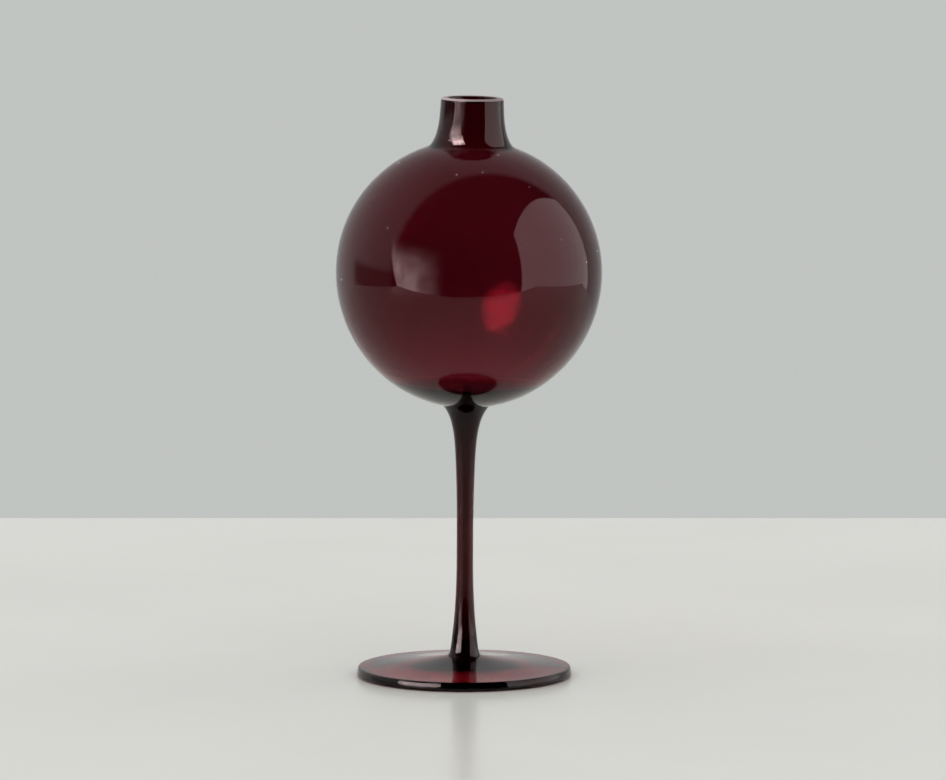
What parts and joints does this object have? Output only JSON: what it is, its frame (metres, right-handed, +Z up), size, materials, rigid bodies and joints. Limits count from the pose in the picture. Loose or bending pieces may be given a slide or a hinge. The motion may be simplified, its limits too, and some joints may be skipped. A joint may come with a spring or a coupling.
{
  "type": "footed art glass vase",
  "caption": "Hand-blown footed vase: a hollow globe with a short open neck, on a thin flared stem and a round foot, for a flower stem or display.",
  "frame": {"origin": "centre of the foot's underside, on the plane the vase stands on", "axes": "+Z up along the vase's axis, out of the mouth; +X to the right and +Y away, seen from the front"},
  "size_m": [0.128, 0.128, 0.28],
  "materials": {
    "ruby_glass": "polished"
  },
  "bodies": {
    "root": {"bowl": "ruby_glass", "stem": "ruby_glass", "foot": "ruby_glass"}
  },
  "joints": []
}
